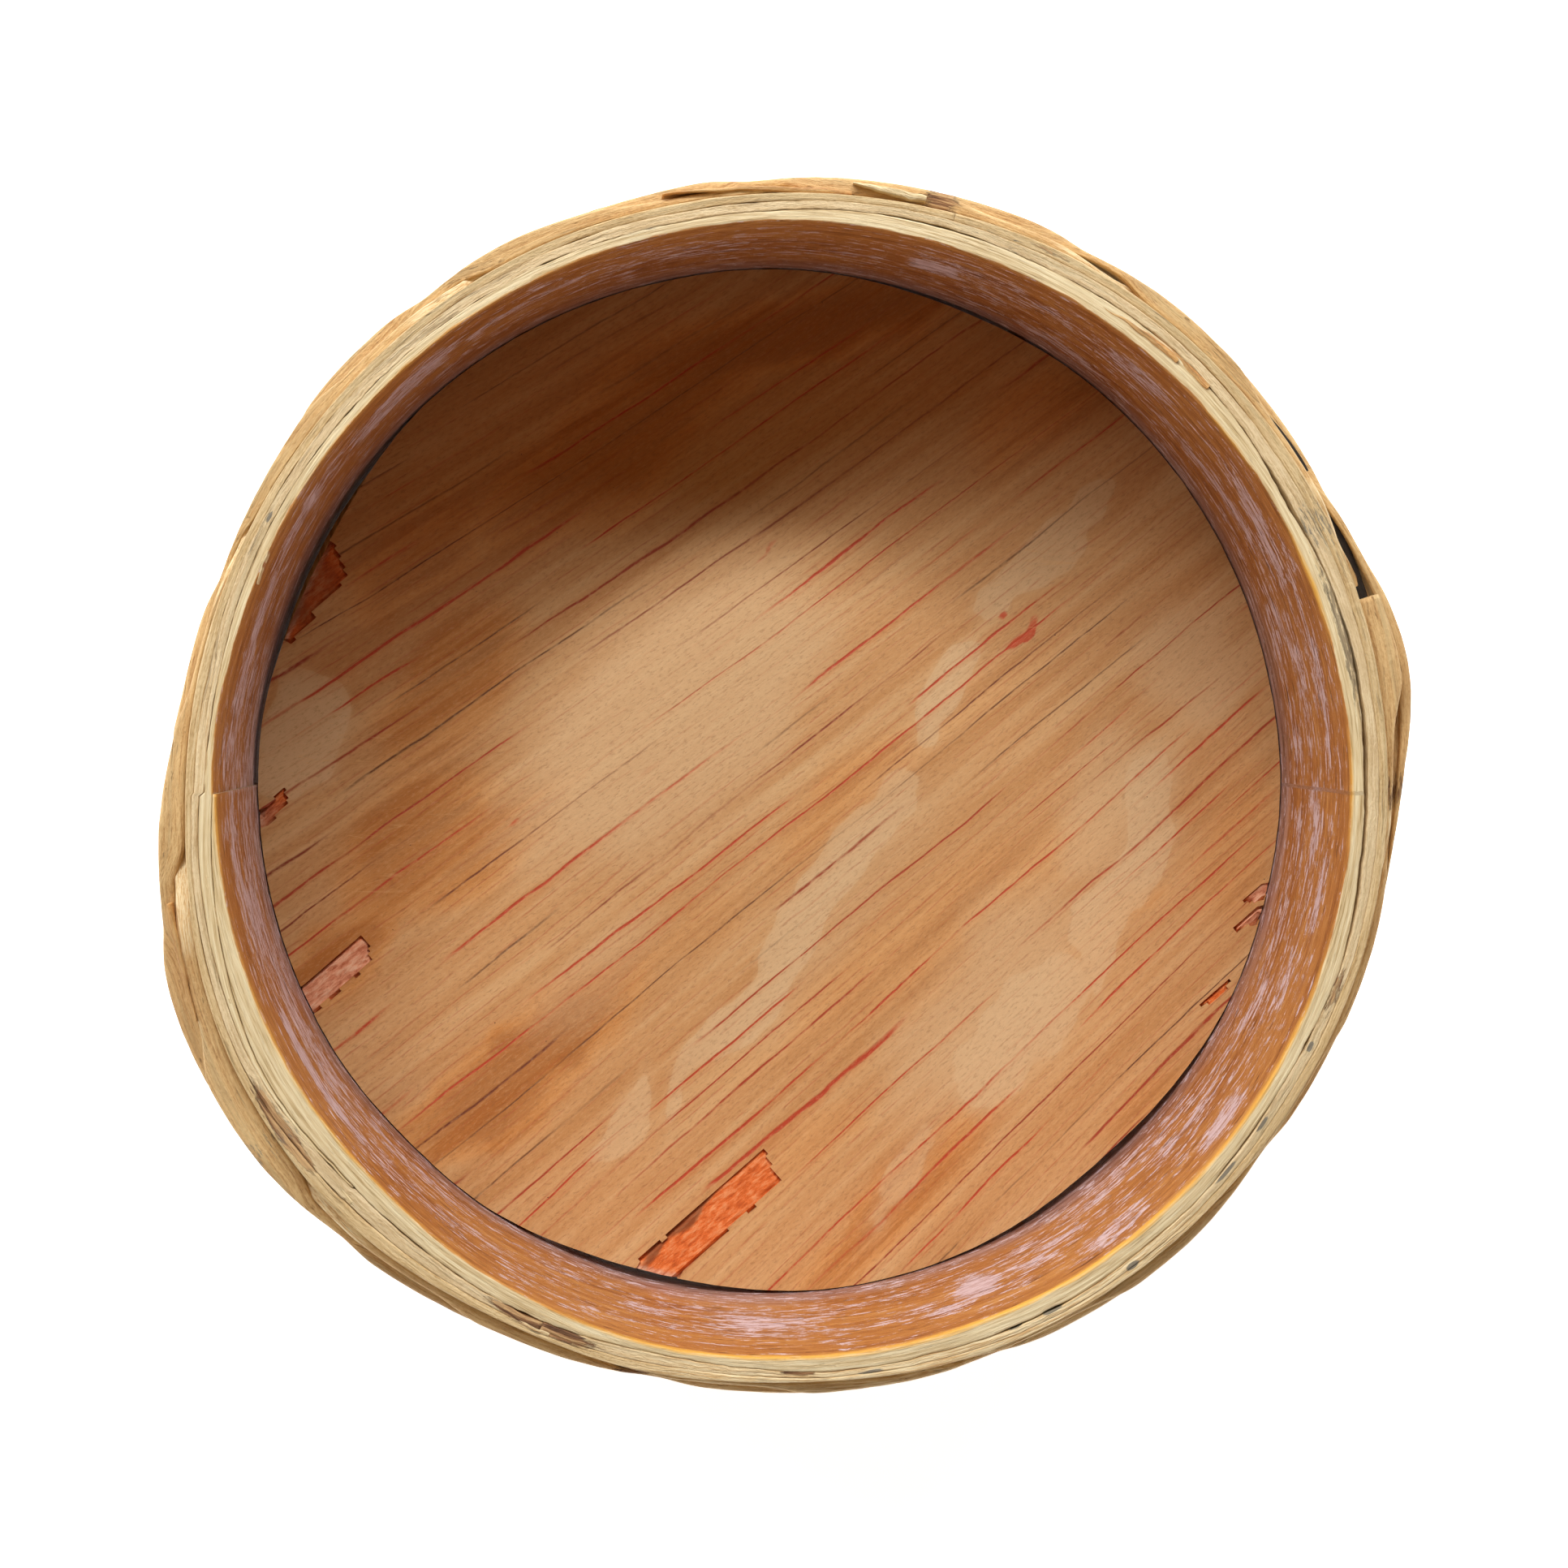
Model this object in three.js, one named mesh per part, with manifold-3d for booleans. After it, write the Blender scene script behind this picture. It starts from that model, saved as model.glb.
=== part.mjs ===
// Bamboo steamer basket: bent bamboo bands held by two twined hoops, with a loose plywood floor.
// Millimetres. The base stands on z = 0, +Z is up and the rim is on top.
// Angles are degrees about +Z, counter-clockwise from +X.
import * as THREE from 'three';
import { mergeVertices } from 'three/addons/utils/BufferGeometryUtils.js';
import Module from 'manifold-3d';

const wasm = await Module();
wasm.setup();

// ---- Driving dimensions ----
const HEIGHT = 50;
const INSIDE_RADIUS = 70.35;
const INSIDE_DEPTH = 38;
const STEP_ANGLE = 4;
const LAYER_GAP = 0.3;
const LAP_GAP = 0.2;
const LAP_RUNOFF = 16;

const INNER_BAND = { start: 180, lap: 42, thickness: 1.6, endThickness: 0.6, taper: 30 };
const WALL_BAND = { start: 200, lap: 36, thickness: 1.0, endThickness: 0.5, taper: 26 };
const EDGE_STRIP = { start: 28, lap: 32, thickness: 0.7, endThickness: 0.35, taper: 26 };
const EDGE_STRIP_HEIGHT = 12;

const STRAND_THICKNESS = 1.0;
const STRAND_WIDTH = 4.2;
const STRAND_GAP = 0.3;
const STRAND_RISE = 2.3;
const HALF_TWISTS_PER_TURN = 11;
const STATIONS_PER_HALF_TWIST = 8;
const HOOP_INSET = 0.8;
const RIM_HOOP_START = 18.5;
const BASE_HOOP_START = 121.5;
const HOOP_TAIL = 29.5;

const FLOOR_RADIUS = 69.6;
const PLY_THICKNESS = [1.0, 1.5, 1.0];
const GLUE_LINE = 0.1;
const GRAIN_ANGLE = 38;

const SEAT_THICKNESS = 2.4;
const SEAT_LOW = 0.6;
const SEAT_CLEARANCE = 0.4;

const BAR_WIDTH = 9;
const BAR_HEIGHT = 5;
const BAR_SPACING = 34;
const BAR_ANGLE = 90;
const PEG_RADIUS = 1.1;
const PEG_LENGTH = 12.5;
const FIT_GAP = 0.3;

// ---- Levels worked out from them ----
const FLOOR_TOP = HEIGHT - INSIDE_DEPTH;
const FLOOR_STACK = PLY_THICKNESS[0] + PLY_THICKNESS[1] + PLY_THICKNESS[2] + 2 * GLUE_LINE;
const FLOOR_UNDERSIDE = FLOOR_TOP - FLOOR_STACK;
const SEAT_TOP = FLOOR_UNDERSIDE - FIT_GAP;
const PEG_LEVEL = SEAT_TOP - BAR_HEIGHT / 2;
const HOOP_HALF_HEIGHT = STRAND_RISE + STRAND_WIDTH / 2;

// ---- Materials ----
const bamboo = (color, roughness) => new THREE.MeshStandardMaterial({ color, roughness, metalness: 0 });
const materials = {
  innerBand: bamboo(0xa8623a, 0.55),
  wallBand: bamboo(0xd8c495, 0.7),
  strip: bamboo(0xcdb27a, 0.7),
  hoop: bamboo(0xbf9656, 0.6),
  faceVeneer: bamboo(0xcf9f6c, 0.6),
  coreVeneer: bamboo(0xc8642e, 0.75),
  bar: bamboo(0xc9a768, 0.65),
  peg: bamboo(0xb98d4f, 0.6),
};

// ---- Small helpers ----
const radians = THREE.MathUtils.degToRad;
const turnOf = (angle) => ((angle % 360) + 360) % 360;
const between = (x, from, to) => THREE.MathUtils.smoothstep(x, from, to);

// A smooth hump: 1 at the centre angle, 0 at reach degrees on either side of it.
function hump(angle, centre, reach) {
  const away = Math.abs(turnOf(angle - centre + 180) - 180);
  return away < reach ? 0.5 + 0.5 * Math.cos((Math.PI * away) / reach) : 0;
}

function makeGeometry(positions, triangles) {
  const geometry = new THREE.BufferGeometry();
  geometry.setAttribute('position', new THREE.Float32BufferAttribute(positions, 3));
  geometry.setIndex(triangles);
  geometry.computeVertexNormals();
  return geometry;
}

// A strip bent round the Z axis. Each station gives its angle, the radii of its two faces and
// the levels of its two edges; both ends are closed.
function bentStrip(stations) {
  const positions = [];
  const triangles = [];
  const forwards = stations[1].angle > stations[0].angle;
  const triangle = (a, b, c) => triangles.push(a, forwards ? b : c, forwards ? c : b);
  for (const { angle, inner, outer, low, high } of stations) {
    const x = Math.cos(radians(angle));
    const y = Math.sin(radians(angle));
    const corners = [[inner, low], [outer, low], [outer, high], [inner, high]];
    for (const [radius, level] of corners) positions.push(radius * x, radius * y, level);
  }
  const last = 4 * (stations.length - 1);
  for (let base = 0; base < last; base += 4) {
    for (let a = 0; a < 4; a++) {
      const b = (a + 1) % 4;
      triangle(base + a, base + 4 + a, base + 4 + b);
      triangle(base + a, base + 4 + b, base + b);
    }
  }
  triangle(0, 1, 2);
  triangle(0, 2, 3);
  triangle(last, last + 2, last + 1);
  triangle(last, last + 3, last + 2);
  return makeGeometry(positions, triangles);
}

// ---- Booleans ----
function toSolid(geometry) {
  const bare = geometry.clone();
  bare.deleteAttribute('normal');
  bare.deleteAttribute('uv');
  const merged = mergeVertices(bare, 1e-4);
  const triVerts = new Uint32Array(merged.index.array);
  const vertProperties = merged.attributes.position.array;
  return new wasm.Manifold(new wasm.Mesh({ numProp: 3, vertProperties, triVerts }));
}

function cut(geometry, tools) {
  let solid = toSolid(geometry);
  for (const tool of tools) solid = solid.subtract(toSolid(tool));
  const { vertProperties, triVerts } = solid.getMesh();
  return makeGeometry(Array.from(vertProperties), Array.from(triVerts));
}

// ---- Bent bands, each wound round the one inside it ----
// A band goes once round and laps behind its own start; both ends are pared thin.
function bandLayer({ start, lap, thickness, endThickness, taper }, under, gap) {
  const end = start + 360 + lap;
  const thick = (s) => {
    const fromEnd = Math.min(between(s, start, start + taper), 1 - between(s, end - lap, end));
    return endThickness + (thickness - endThickness) * fromEnd;
  };
  const step = (s) => thick(s - 360) + LAP_GAP;
  const rise = (s) => (s < start + 360 ? step(start + 360) * between(s, start + 336, start + 360) : step(s));
  const inner = (s) => under(turnOf(s)) + gap(turnOf(s)) + rise(s);
  const outer = (s) => inner(s) + thick(s);
  // Past the lap, whatever lies outside comes down off its thin end over LAP_RUNOFF degrees.
  const outermost = (angle) => {
    const first = start + turnOf(angle - start);
    if (first + 360 <= end) return outer(first + 360);
    const drop = outer(end) - outer(end - 360);
    return outer(first) + drop * (1 - between(first, end - 360 + STEP_ANGLE, end - 360 + LAP_RUNOFF));
  };
  return { start, end, inner, outer, outermost };
}

function bandStations(layer, low, high) {
  const stations = [];
  for (let angle = layer.start; angle <= layer.end + 1e-9; angle += STEP_ANGLE / 2) {
    const onGrid = (angle - layer.start) % STEP_ANGLE === 0;
    const nearEnd = angle > layer.end - STEP_ANGLE;
    if (!onGrid && !nearEnd) continue;
    stations.push({ angle, inner: layer.inner(angle), outer: layer.outer(angle), low, high });
  }
  return stations;
}

const innerBand = bandLayer(INNER_BAND, () => INSIDE_RADIUS, () => 0);
// The wall band has sprung away from the inner band beside +X.
const wallBand = bandLayer(
  WALL_BAND,
  innerBand.outermost,
  (angle) => LAYER_GAP + 0.5 * hump(angle, 5, 40),
);
const edgeStrip = bandLayer(EDGE_STRIP, wallBand.outermost, () => LAP_GAP);

// ---- Twined hoop: one splint wound twice round, changing sides at every half twist ----
// It starts under its own tail, goes clockwise, and the tail runs outside both passes.
const HALF_TWIST_ANGLE = 360 / HALF_TWISTS_PER_TURN;
const HOOP_STEP = HALF_TWIST_ANGLE / STATIONS_PER_HALF_TWIST;
const TAIL_LEAVES = 720 - 2 * HOOP_STEP;

// Holds at -1 or 1 for half of every half twist, so the two passes never meet as they cross.
const changeSides = (x) => Math.sin((Math.PI / 2) * THREE.MathUtils.clamp(x * Math.SQRT2, -1, 1));

function twinedHoop(start, levelAt, looseness) {
  const stations = [];
  const length = 720 + HOOP_TAIL;
  for (let travelled = 0; travelled < length + HOOP_STEP / 2; travelled += HOOP_STEP) {
    const angle = start - travelled;
    const slim = 1 - 0.25 * hump(angle, 295, 65);
    const pass = STRAND_THICKNESS * slim;
    const paring = 1 - 0.6 * between(travelled, 720, length);
    const twist = radians((180 / HALF_TWIST_ANGLE) * (travelled - TAIL_LEAVES));
    const onTail = travelled > TAIL_LEAVES;
    const side = onTail ? 1 : changeSides(Math.cos(twist));
    const lift = onTail ? 0 : changeSides(Math.sin(twist));
    const tailStep = (pass + STRAND_GAP) * between(travelled, TAIL_LEAVES - HOOP_STEP, 720 - HOOP_STEP);
    const wall = edgeStrip.outermost(turnOf(angle)) + LAYER_GAP + looseness(angle);
    const inner = wall + ((side + 1) / 2) * (pass + STRAND_GAP) + tailStep;
    const middle = levelAt(angle) + lift * STRAND_RISE;
    stations.push({
      angle,
      inner,
      outer: inner + pass * paring,
      low: middle - STRAND_WIDTH / 2,
      high: middle + STRAND_WIDTH / 2,
    });
  }
  return bentStrip(stations);
}

const rimHoopLevel = (angle) => HEIGHT - HOOP_INSET - HOOP_HALF_HEIGHT - 1.6 * hump(angle, 295, 70);
const rimHoopLooseness = (angle) => 1.3 * hump(angle, 207, 28) + 0.5 * hump(angle, 14, 16);
const baseHoopLevel = () => HOOP_INSET + HOOP_HALF_HEIGHT;
const baseHoopLooseness = (angle) => 0.6 * hump(angle, 215, 30);

// ---- Loose floor: three plies cut to a slightly uneven disc ----
// The disc was trimmed by hand, which leaves it short of the wall in four places.
function floorRadius(angle) {
  const trimmed = hump(angle, 68, 20) + 1.3 * hump(angle, 153, 24) + hump(angle, 255, 22);
  return FLOOR_RADIUS - 0.8 * trimmed - 1.4 * hump(angle, 310, 28);
}

function floorOutline() {
  const outline = new THREE.Shape();
  for (let angle = 0; angle < 360; angle += STEP_ANGLE) {
    const radius = floorRadius(angle);
    const x = radius * Math.cos(radians(angle));
    const y = radius * Math.sin(radians(angle));
    if (angle === 0) outline.moveTo(x, y);
    else outline.lineTo(x, y);
  }
  outline.closePath();
  return outline;
}

function ply(low, thickness) {
  const geometry = new THREE.ExtrudeGeometry(floorOutline(), { depth: thickness, bevelEnabled: false });
  return geometry.translate(0, 0, low);
}

// A splinter of face veneer that has come off along the grain, from its middle point.
function veneerChip({ x, y, length, width, turn }) {
  const box = new THREE.BoxGeometry(length, width, 4 * PLY_THICKNESS[2]);
  box.rotateZ(radians(GRAIN_ANGLE + turn));
  return box.translate(x, y, FLOOR_TOP);
}

const VENEER_CHIPS = [
  { x: -8.6, y: -61.6, length: 24, width: 5.0, turn: 4 },
  { x: -61.2, y: -27.4, length: 14, width: 3.4, turn: 8 },
  { x: -64.4, y: 23.6, length: 17, width: 3.6, turn: 16 },
  { x: -68.6, y: -5.4, length: 8, width: 1.8, turn: 12 },
  { x: 68.4, y: -13.6, length: 7, width: 1.6, turn: 0 },
];

const plyLow = [
  FLOOR_UNDERSIDE,
  FLOOR_UNDERSIDE + PLY_THICKNESS[0] + GLUE_LINE,
  FLOOR_TOP - PLY_THICKNESS[2],
];

// ---- Seat under the floor: a bent lath whose two ends meet in a long scarf ----
function seatRing() {
  const stations = [];
  const scarf = 24;
  const outerFace = INSIDE_RADIUS - SEAT_CLEARANCE;
  const cutAway = (SEAT_THICKNESS - LAP_GAP) / 2;
  for (let angle = 60; angle <= 420 + scarf; angle += STEP_ANGLE) {
    const first = 1 - between(angle, 60, 60 + scarf);
    const second = between(angle, 420 - scarf / 2, 420);
    const shut = between(angle, 420, 420 + scarf);
    const inner = outerFace - SEAT_THICKNESS + (cutAway + LAP_GAP) * second + 0.8 * cutAway * shut;
    const outer = outerFace - (cutAway + LAP_GAP) * first;
    stations.push({ angle, inner, outer, low: SEAT_LOW, high: SEAT_TOP });
  }
  return bentStrip(stations);
}

// ---- Cross bars under the floor, pegged through the wall at both ends ----
const BARS = [
  { name: 'cross_bar_middle', offset: 0 },
  { name: 'cross_bar_left', offset: BAR_SPACING },
  { name: 'cross_bar_right', offset: -BAR_SPACING },
];

const barHalfLength = (offset) => Math.sqrt((INSIDE_RADIUS - 0.7) ** 2 - (Math.abs(offset) + BAR_WIDTH / 2) ** 2);

// Puts a piece made along +X at the origin onto a bar's own line.
function alongBar(geometry, offset, distance, level) {
  geometry.translate(distance, offset, level);
  return geometry.rotateZ(radians(BAR_ANGLE));
}

function pegShape(radius, length) {
  const geometry = new THREE.CylinderGeometry(radius, radius, length, 10);
  return geometry.rotateZ(Math.PI / 2);
}

// The peg's outer end stays just inside the wall band, under the strip that covers it.
function pegMiddle(offset, side) {
  const barAngle = BAR_ANGLE + (side > 0 ? 0 : 180);
  const direction = barAngle + side * THREE.MathUtils.radToDeg(Math.asin(offset / INSIDE_RADIUS));
  const wallFace = wallBand.outer(WALL_BAND.start + turnOf(direction - WALL_BAND.start));
  const reach = Math.sqrt((wallFace - 0.2) ** 2 - (Math.abs(offset) + PEG_RADIUS) ** 2);
  return side * (reach - PEG_LENGTH / 2);
}

function forEachPeg(make) {
  return BARS.flatMap(({ offset }) => [1, -1].map((side) => make(offset, side)));
}

const pegHoles = forEachPeg((offset, side) => {
  const hole = pegShape(PEG_RADIUS + FIT_GAP, PEG_LENGTH + 2 * FIT_GAP);
  return alongBar(hole, offset, pegMiddle(offset, side), PEG_LEVEL);
});

const wallHoles = forEachPeg((offset, side) => {
  const hole = pegShape(PEG_RADIUS + FIT_GAP, 2 * PEG_LENGTH);
  return alongBar(hole, offset, pegMiddle(offset, side) + (side * PEG_LENGTH) / 2, PEG_LEVEL);
});

const seatNotches = BARS.map(({ offset }) => {
  const height = 2 * (BAR_HEIGHT + FIT_GAP);
  const notch = new THREE.BoxGeometry(3 * INSIDE_RADIUS, BAR_WIDTH + 2 * FIT_GAP, height);
  return alongBar(notch, offset, 0, SEAT_TOP);
});

// ---- The assembly ----
const group = new THREE.Group();
group.name = 'bamboo_steamer_basket';

function addPiece(name, geometry, material) {
  const mesh = new THREE.Mesh(geometry, material);
  mesh.name = name;
  group.add(mesh);
}

addPiece('inner_band', cut(bentStrip(bandStations(innerBand, 0, HEIGHT)), wallHoles), materials.innerBand);
addPiece('wall_band', cut(bentStrip(bandStations(wallBand, 0, HEIGHT)), wallHoles), materials.wallBand);
addPiece(
  'rim_strip',
  bentStrip(bandStations(edgeStrip, HEIGHT - EDGE_STRIP_HEIGHT, HEIGHT)),
  materials.strip,
);
addPiece('base_strip', bentStrip(bandStations(edgeStrip, 0, EDGE_STRIP_HEIGHT)), materials.strip);
addPiece('rim_hoop', twinedHoop(RIM_HOOP_START, rimHoopLevel, rimHoopLooseness), materials.hoop);
addPiece('base_hoop', twinedHoop(BASE_HOOP_START, baseHoopLevel, baseHoopLooseness), materials.hoop);

addPiece('floor_back_veneer', ply(plyLow[0], PLY_THICKNESS[0]), materials.faceVeneer);
addPiece('floor_core_veneer', ply(plyLow[1], PLY_THICKNESS[1]), materials.coreVeneer);
addPiece(
  'floor_face_veneer',
  cut(ply(plyLow[2], PLY_THICKNESS[2]), VENEER_CHIPS.map(veneerChip)),
  materials.faceVeneer,
);

addPiece('floor_seat_ring', cut(seatRing(), seatNotches), materials.bar);
for (const { name, offset } of BARS) {
  const bar = new THREE.BoxGeometry(2 * barHalfLength(offset), BAR_WIDTH, BAR_HEIGHT);
  addPiece(name, cut(alongBar(bar, offset, 0, PEG_LEVEL), pegHoles), materials.bar);
}

let pegNumber = 0;
forEachPeg((offset, side) => {
  pegNumber += 1;
  const peg = alongBar(pegShape(PEG_RADIUS, PEG_LENGTH), offset, pegMiddle(offset, side), PEG_LEVEL);
  addPiece(`bar_peg_${pegNumber}`, peg, materials.peg);
});

// The origin is the middle of the footprint, on the base.
const footprint = new THREE.Box3().setFromObject(group);
const middle = footprint.getCenter(new THREE.Vector3());
for (const mesh of group.children) mesh.position.set(-middle.x, -middle.y, -footprint.min.z);

export default group;
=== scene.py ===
# Bamboo steamer basket: the visible pieces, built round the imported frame. Metres, +Z up.
import math
from collections import namedtuple

import bmesh
import bpy
from mathutils import Matrix, Vector, noise


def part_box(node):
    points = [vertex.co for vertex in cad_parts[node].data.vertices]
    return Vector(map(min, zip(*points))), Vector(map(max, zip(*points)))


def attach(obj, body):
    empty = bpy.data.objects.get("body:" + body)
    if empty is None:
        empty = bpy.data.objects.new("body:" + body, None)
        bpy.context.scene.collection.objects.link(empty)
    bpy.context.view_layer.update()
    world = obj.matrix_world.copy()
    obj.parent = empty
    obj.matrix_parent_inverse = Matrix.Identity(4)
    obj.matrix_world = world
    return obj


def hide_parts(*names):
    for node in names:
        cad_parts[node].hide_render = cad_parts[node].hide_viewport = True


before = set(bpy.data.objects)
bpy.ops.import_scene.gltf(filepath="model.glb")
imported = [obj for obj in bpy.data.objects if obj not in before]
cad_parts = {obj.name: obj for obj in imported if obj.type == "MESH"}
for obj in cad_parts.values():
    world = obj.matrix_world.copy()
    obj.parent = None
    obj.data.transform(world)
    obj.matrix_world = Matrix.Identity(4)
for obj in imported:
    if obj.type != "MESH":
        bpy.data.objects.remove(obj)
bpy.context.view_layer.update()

MM = 0.001


def middle_of(node):
    """The middle of a CAD node's box."""
    low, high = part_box(node)
    return (Vector(low) + Vector(high)) / 2


# ---- Places, from the frame ----
AXIS = middle_of("cross_bar_middle")
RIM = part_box("wall_band")[1][2] / MM
BOARD_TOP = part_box("floor_face_veneer")[1][2] / MM
CORE_LOW, CORE_TOP = (corner[2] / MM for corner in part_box("floor_core_veneer"))
BACK_LOW, BACK_TOP = (corner[2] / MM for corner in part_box("floor_back_veneer"))
FACE_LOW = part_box("floor_face_veneer")[0][2] / MM
STRIP_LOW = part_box("rim_strip")[0][2] / MM
STRIP_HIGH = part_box("base_strip")[1][2] / MM
BASE_HOOP_LOW, BASE_HOOP_HIGH = (corner[2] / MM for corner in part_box("base_hoop"))

# ---- Sizes, in millimetres and degrees ----
LAP_START = 180
LAP_LENGTH = 42
LAP_END = LAP_START + 360 + LAP_LENGTH
WALL_BAND_START = 245
STRIP_START = 74
HAIRS_BREADTH = 0.03
STRAND_WIDTH = 4.2
STRAND_RISE = 1.6
STRAND_GAP = 0.1
LEAF_RISE = 0.9
TWO_TURNS = 720
HALF_TWIST = 360 / 11
RIM_HOOP_START = 18.5
BASE_HOOP_START = 121.5
HOOP_TAIL = 29.5
HOOP_MIDDLE = RIM - 5.0
# Heights of the near-black filler splints set in the gaps behind the hoop, as painted shade.
SHADE_FILLER_LOW = RIM - 6.6
SHADE_FILLER_HIGH = RIM - 4.6
GRAIN_ANGLE = 38
# How much the grain lines spread along their length, for each metre.
GRAIN_FAN = 1.75
SHEET_REACH = 71.5
SHEET_TURN = 3
FACE_CELL = 0.5
CORE_CELL = 0.6
BACK_CELL = 1.5
CHIP_DEPTH = 0.3

# ---- The studio, in metres and watts ----
CAMERA_LENS = 65.0
SWEEP = [(0.0, 0.0), (1.6, 0.0), (2.2, 0.08), (2.6, 0.3), (2.8, 0.7), (2.85, 1.2)]
SWEEP_GLOW = 0.8
SKY_COLOUR = (1.0, 0.54, 0.16)
SKY_STRENGTH = 0.11
KEY_REACH = 0.78
KEY_HEIGHT = 0.735
KEY_SIZE = (0.42, 0.13)
KEY_TARGET = (0, 0, 0.03)
# Each lamp's angle round the basket, and its power.
KEY_ROW = [(66, 2.8), (93, 3.1), (115, 4.2), (136, 2.7)]


# ---- Shape helpers ----
def turn_between(angle, centre):
    """How far an angle is from a centre, from -180 to 180."""
    return (angle - centre + 180) % 360 - 180


def hump(angle, centre, reach):
    """1 at the centre angle, falling smoothly to 0 at reach degrees either side of it."""
    away = abs(turn_between(angle, centre))
    return 0.5 + 0.5 * math.cos(math.pi * away / reach) if away < reach else 0.0


def around(base, *humps):
    """A size that changes round the basket: a base value and humps of (centre, reach, amount)."""
    def size(angle):
        return base + sum(amount * hump(angle, centre, reach) for centre, reach, amount in humps)
    return size


def ease(x, low, high):
    """0 below low, 1 above high, smooth between."""
    t = min(max((x - low) / (high - low), 0.0), 1.0)
    return t * t * (3 - 2 * t)


def wobble(*place, seed=0.0):
    """Smooth noise from -1 to 1."""
    point = Vector((*place, 0, 0, 0)[:3])
    return noise.noise(point + Vector((seed * 17.3, seed * 5.1, seed * 9.7)))


# How the layers lie, as radii from the basket's axis.
inside_face = around(
    70.35, (0, 14, 0.2), (90, 16, 0.2), (165, 12, -0.15), (224, 14, -0.3), (256, 16, 0.25),
    (300, 12, 0.15),
)
first_crack = around(
    72.45, (14, 14, 0.3), (30, 9, -0.4), (50, 16, 0.4), (98, 22, -0.5), (135, 60, -0.95),
    (172, 20, -0.6), (187, 10, -0.6), (208, 16, 0.9), (259, 18, -0.8), (298, 16, 0.2),
    (327, 14, -0.35), (344, 9, 0.35),
)
wall_face = around(
    74.3, (28, 60, 1.2), (62, 20, 0.35), (98, 22, -0.3), (140, 60, -0.65), (208, 30, 2.0),
    (228, 20, 1.0), (270, 20, -0.75), (345, 30, 0.5),
)
crack_width = around(
    0.02, (4, 20, 0.5), (30, 9, 0.45), (74, 8, 0.16), (193, 8, 0.1), (232, 16, 0.14), (243, 2, 0.3),
    (293, 3, 0.2), (297, 3, 0.25), (322, 7, 0.2), (334, 2, 0.3), (349, 9, 0.3),
)
hoop_face = around(
    75.9, (30, 75, 1.6), (14, 14, 0.9), (62, 32, 0.6), (95, 24, 0.35), (120, 14, 0.35),
    (152, 17, -0.75), (207, 44, 4.4), (197, 12, 0.4), (264, 20, -0.5), (305, 22, 0.4),
    (8, 16, 0.7), (170, 16, -0.7), (279, 10, -0.3), (105, 12, -0.4),
)
hoop_gap = around(0.03, (23, 5, 0.5), (59, 6, 0.8), (95, 8, 0.3), (199, 8, 0.2), (214, 7, 0.3))
board_edge = around(0.2, (68, 16, 0.35), (152, 22, 1.25), (255, 22, 1.1), (311, 26, 1.0))
# How rounded the laths' edges are: the layers lie tight and sharp where this is low.
edge_wear = around(1.0, (135, 48, -0.7))


# ---- Mesh building ----
def new_piece(name, bm, body, slot, replaced=(), smooth=True):
    """A finished mesh, as an object that rides on a body and stands for CAD nodes."""
    mesh = bpy.data.meshes.new(name)
    bm.to_mesh(mesh)
    bm.free()
    for face in mesh.polygons:
        face.use_smooth = smooth
    piece = bpy.data.objects.new(name, mesh)
    bpy.context.scene.collection.objects.link(piece)
    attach(piece, body)
    if replaced:
        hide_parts(*replaced)
    return piece


def unit_block(along, across, up):
    """A block from 0 to 1 each way, divided into that many parts along X, Y and Z."""
    bm = bmesh.new()
    bmesh.ops.create_cube(bm, size=1)
    bmesh.ops.translate(bm, vec=(0.5, 0.5, 0.5), verts=bm.verts)
    for axis, parts in enumerate((along, across, up)):
        edges = [e for e in bm.edges if abs(e.verts[0].co[axis] - e.verts[1].co[axis]) > 0.5]
        bmesh.ops.subdivide_edges(bm, edges=edges, cuts=parts - 1, use_grid_fill=True)
    return bm


def crown(depth, thickness, radius):
    """How far a rounded edge falls away at a depth into a lath's thickness."""
    into = min(depth, thickness - depth)
    if into >= radius:
        return 0.0
    return radius - math.sqrt(max(radius**2 - (radius - into) ** 2, 0.0))


Section = namedtuple("Section", "angle inner outer low high lean pith", defaults=(0.0, 0.0))


def unmarked(*place):
    """The marks of a piece whose finish reads none."""
    return {}


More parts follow.
